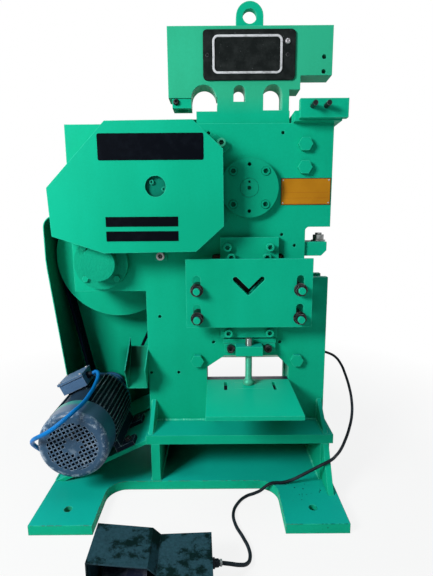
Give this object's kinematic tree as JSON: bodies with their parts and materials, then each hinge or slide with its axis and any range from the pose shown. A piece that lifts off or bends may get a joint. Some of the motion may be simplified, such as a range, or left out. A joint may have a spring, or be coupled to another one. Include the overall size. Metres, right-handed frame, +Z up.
{
  "type": "mechanical ironworker",
  "caption": "Floor-standing mechanical ironworker: punch, notch, angle, bar and flat shear on one ram, motor and flywheel drive, foot switch.",
  "frame": {"origin": "centre of the four anchor bolts, on the floor", "axes": "+X right along the machine, +Y to the rear, +Z up"},
  "size_m": [1.017, 0.9297, 1.425],
  "materials": {
    "green_paint": "gloss enamel",
    "dark_steel": "oiled black",
    "bright_steel": "machined",
    "bronze": "bearing bronze",
    "motor_paint": "satin",
    "black_rubber": "matt",
    "black_plastic": "matt",
    "blue_cable": "satin sheath",
    "black_paint": "worn black",
    "plate_yellow": "printed plate, bare",
    "start_green": "gloss",
    "stop_red": "gloss"
  },
  "bodies": {
    "frame": {"base_plate": "green_paint", "base_webs": "green_paint", "base_flange": "green_paint", "base_gussets": "green_paint", "motor_plate": "green_paint", "front_plate": "green_paint", "rear_plate": "green_paint", "frame_spacers": "green_paint", "slide_guides": "bronze", "tie_bolts": "green_paint", "bearing_bushes": "bronze", "eccentric_cover": "green_paint", "flywheel_housing": "green_paint", "painted_screws": "green_paint", "black_screws": "dark_steel", "bare_screws": "bright_steel", "gear_guard": "green_paint", "rear_guard": "green_paint", "clamp_plate": "green_paint", "fixed_blades": "dark_steel", "guide_studs": "green_paint", "stud_nuts": "dark_steel", "hold_down_bracket": "green_paint", "shear_table": "green_paint", "notch_bolster": "green_paint", "notch_stop": "green_paint", "bar_block": "green_paint", "scrap_chute": "green_paint", "data_plate": "plate_yellow", "motor_body": "motor_paint", "motor_shields": "motor_paint", "fan_cowl": "motor_paint", "terminal_box": "motor_paint", "drive_belts": "black_rubber", "control_box": "green_paint", "cable_glands": "black_plastic", "motor_cable": "blue_cable", "pedal_cable": "black_rubber", "pedal_base": "black_paint", "pedal_hood": "black_paint"},
    "ram": {"ram": "green_paint", "lifting_eye": "green_paint", "name_plate": "black_paint", "punch_holder": "green_paint", "moving_blades": "bright_steel"},
    "eccentric": {"eccentric_shaft": "bright_steel", "eccentric_ring": "bronze"},
    "bull_gear": {"bull_gear": "bright_steel"},
    "intermediate": {"intermediate_shaft": "bright_steel", "intermediate_gear": "bright_steel", "inching_disc": "green_paint"},
    "flywheel": {"flywheel": "green_paint", "flywheel_shaft": "bright_steel"},
    "motor_rotor": {"motor_shaft": "bright_steel", "motor_pulley": "dark_steel"},
    "angle_guard": {"angle_guard": "green_paint"},
    "hold_down": {"hold_down_screw": "bright_steel"},
    "treadle": {"treadle": "black_paint"},
    "start_button": {"start_button": "start_green"},
    "stop_button": {"stop_button": "stop_red"}
  },
  "joints": [
    {"name": "flywheel_spin", "type": "hinge", "parent": "frame", "child": "flywheel", "pos_m": [-0.26659, 0, 0.69065], "axis": [0, 1, 0], "continuous": true},
    {"name": "intermediate_spin", "type": "hinge", "parent": "frame", "child": "intermediate", "pos_m": [-0.088, 0, 0.905], "axis": [0, 1, 0], "continuous": true},
    {"name": "bull_gear_spin", "type": "hinge", "parent": "frame", "child": "bull_gear", "pos_m": [0.173, 0, 0.905], "axis": [0, 1, 0], "continuous": true},
    {"name": "motor_spin", "type": "hinge", "parent": "frame", "child": "motor_rotor", "pos_m": [-0.32571, 0, 0.19754], "axis": [0, 1, 0], "continuous": true},
    {"name": "ram_slide", "type": "slide", "parent": "frame", "child": "ram", "axis": [0, 0, 1], "range_m": [-0.032, 0]},
    {"name": "eccentric_turn", "type": "hinge", "parent": "frame", "child": "eccentric", "pos_m": [0.173, 0, 0.905], "axis": [0, 1, 0], "range_deg": [0, 180]},
    {"name": "angle_guard_slide", "type": "slide", "parent": "frame", "child": "angle_guard", "axis": [0, 0, 1], "range_m": [-0.031, 0]},
    {"name": "hold_down_slide", "type": "slide", "parent": "frame", "child": "hold_down", "axis": [0, 0, 1], "range_m": [0, 0.04]},
    {"name": "treadle_press", "type": "hinge", "parent": "frame", "child": "treadle", "pos_m": [-0.1368, -0.4496, 0.027], "axis": [0.999, 0.0436, 0], "range_deg": [0, 8], "stiffness_Nm_per_rad": 3, "springref_deg": -20.05},
    {"name": "start_press", "type": "slide", "parent": "frame", "child": "start_button", "axis": [1, 0, 0], "range_m": [-0.004, 0], "stiffness_N_per_m": 400, "springref_m": 0.004},
    {"name": "stop_press", "type": "slide", "parent": "frame", "child": "stop_button", "axis": [1, 0, 0], "range_m": [-0.004, 0], "stiffness_N_per_m": 400, "springref_m": 0.004}
  ],
  "couplings": [
    {"joint": "intermediate_spin", "follows": "flywheel_spin", "ratio": -0.34783},
    {"joint": "bull_gear_spin", "follows": "flywheel_spin", "ratio": 0.090737},
    {"joint": "motor_spin", "follows": "flywheel_spin", "ratio": 4.3548},
    {"joint": "eccentric_turn", "follows": "ram_slide", "rad_per_m": -98.175}
  ]
}
